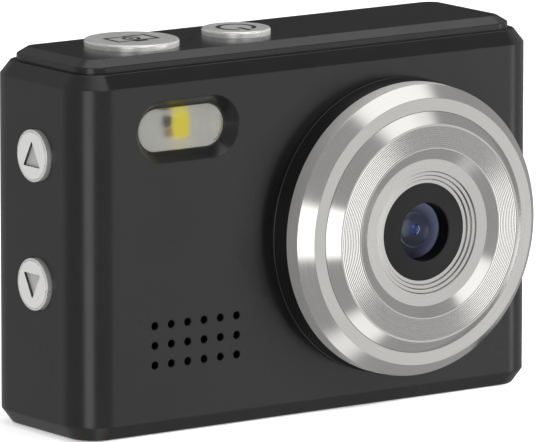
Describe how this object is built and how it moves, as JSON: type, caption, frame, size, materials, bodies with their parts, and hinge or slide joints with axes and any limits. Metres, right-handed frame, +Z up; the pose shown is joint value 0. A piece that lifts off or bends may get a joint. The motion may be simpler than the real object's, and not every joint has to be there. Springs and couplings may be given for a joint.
{
  "type": "compact digital camera",
  "caption": "Compact digital camera: black bevelled case, stepped metal lens ring, flash window, speaker grille, pressing buttons on top, side and back, hinged battery door.",
  "frame": {"origin": "middle of the flat base of the case, on the surface it stands on", "axes": "+X to the right seen from the front, towards the lens side; the lens looks along -Y and the screen along +Y; +Z up towards the shutter button"},
  "size_m": [0.0909, 0.0381, 0.0618],
  "materials": {
    "case_plastic": "satin black moulded plastic",
    "ring_metal": "turned, fine circular brush marks",
    "key_metal": "satin plated caps, polished edge",
    "face_plate": "matte black",
    "barrel": "deep matte black",
    "coated_glass": "blue coated glass",
    "clear_glass": "clear glass",
    "flash_diffuser": "milky clear plastic",
    "white_plastic": "white",
    "led_yellow": "yellow phosphor",
    "circuit_board": "green solder mask",
    "chip_black": "moulded",
    "flex_amber": "amber film",
    "steel": "plated",
    "brass": "turned",
    "screen_glass": "polished dark window",
    "display": "dark display",
    "battery_wrap": "blue film",
    "speaker_cloth": "fine black mesh"
  },
  "bodies": {
    "case": {"main_shell": "case_plastic", "rear_cover": "case_plastic", "top_cover": "case_plastic", "lens_collar": "case_plastic", "lens_outer_ring": "ring_metal", "lens_groove_ring": "ring_metal", "lens_inner_ring": "ring_metal", "lens_face_plate": "face_plate", "lens_barrel": "barrel", "front_element": "coated_glass", "barrel_spacer": "barrel", "middle_element": "coated_glass", "rear_element": "coated_glass", "lens_holder": "barrel", "ir_filter": "clear_glass", "image_sensor": "chip_black", "sensor_board": "circuit_board", "sensor_flex": "flex_amber", "flash_window": "flash_diffuser", "flash_reflector": "white_plastic", "flash_led": "led_yellow", "flash_board": "circuit_board", "speaker": "chip_black", "speaker_mesh": "speaker_cloth", "microphone": "steel", "main_board": "circuit_board", "processor": "chip_black", "board_parts": "chip_black", "lcd_frame": "steel", "lcd_panel": "display", "lcd_flex": "flex_amber", "screen_window": "screen_glass", "status_light": "flash_diffuser", "battery_bay": "chip_black", "battery": "battery_wrap", "battery_contacts": "brass", "door_pin": "steel", "card_socket": "steel", "usb_port": "steel", "case_screws": "steel", "board_screws": "steel", "tripod_nut": "brass", "strap_bar": "steel", "top_switches": "steel", "top_board": "circuit_board", "side_switches": "steel", "side_board": "circuit_board", "rear_switches": "steel"},
    "shutter_key": {"shutter_button": "key_metal", "shutter_plunger": "chip_black"},
    "power_key": {"power_button": "key_metal", "power_plunger": "chip_black"},
    "up_key": {"up_button": "key_metal"},
    "down_key": {"down_button": "key_metal"},
    "menu_key": {"menu_button": "key_metal"},
    "mode_key": {"mode_button": "key_metal"},
    "play_key": {"play_button": "key_metal"},
    "delete_key": {"delete_button": "key_metal"},
    "door": {"battery_door": "case_plastic"}
  },
  "joints": [
    {"name": "shutter_press", "type": "slide", "parent": "case", "child": "shutter_key", "axis": [0, 0, -1], "range_m": [0, 0.0006], "stiffness_N_per_m": 900, "springref_m": -0.0004},
    {"name": "power_press", "type": "slide", "parent": "case", "child": "power_key", "axis": [0, 0, -1], "range_m": [0, 0.0005], "stiffness_N_per_m": 900, "springref_m": -0.0004},
    {"name": "up_press", "type": "slide", "parent": "case", "child": "up_key", "axis": [1, 0, 0], "range_m": [0, 0.0004], "stiffness_N_per_m": 900, "springref_m": -0.0004},
    {"name": "down_press", "type": "slide", "parent": "case", "child": "down_key", "axis": [1, 0, 0], "range_m": [0, 0.0004], "stiffness_N_per_m": 900, "springref_m": -0.0004},
    {"name": "menu_press", "type": "slide", "parent": "case", "child": "menu_key", "axis": [0, -1, 0], "range_m": [0, 0.0004], "stiffness_N_per_m": 900, "springref_m": -0.0004},
    {"name": "mode_press", "type": "slide", "parent": "case", "child": "mode_key", "axis": [0, -1, 0], "range_m": [0, 0.0004], "stiffness_N_per_m": 900, "springref_m": -0.0004},
    {"name": "play_press", "type": "slide", "parent": "case", "child": "play_key", "axis": [0, -1, 0], "range_m": [0, 0.0004], "stiffness_N_per_m": 900, "springref_m": -0.0004},
    {"name": "delete_press", "type": "slide", "parent": "case", "child": "delete_key", "axis": [0, -1, 0], "range_m": [0, 0.0004], "stiffness_N_per_m": 900, "springref_m": -0.0004},
    {"name": "door_hinge", "type": "hinge", "parent": "case", "child": "door", "pos_m": [-0.02, 0.0079, 0.0012], "axis": [1, 0, 0], "range_deg": [0, 88]}
  ]
}
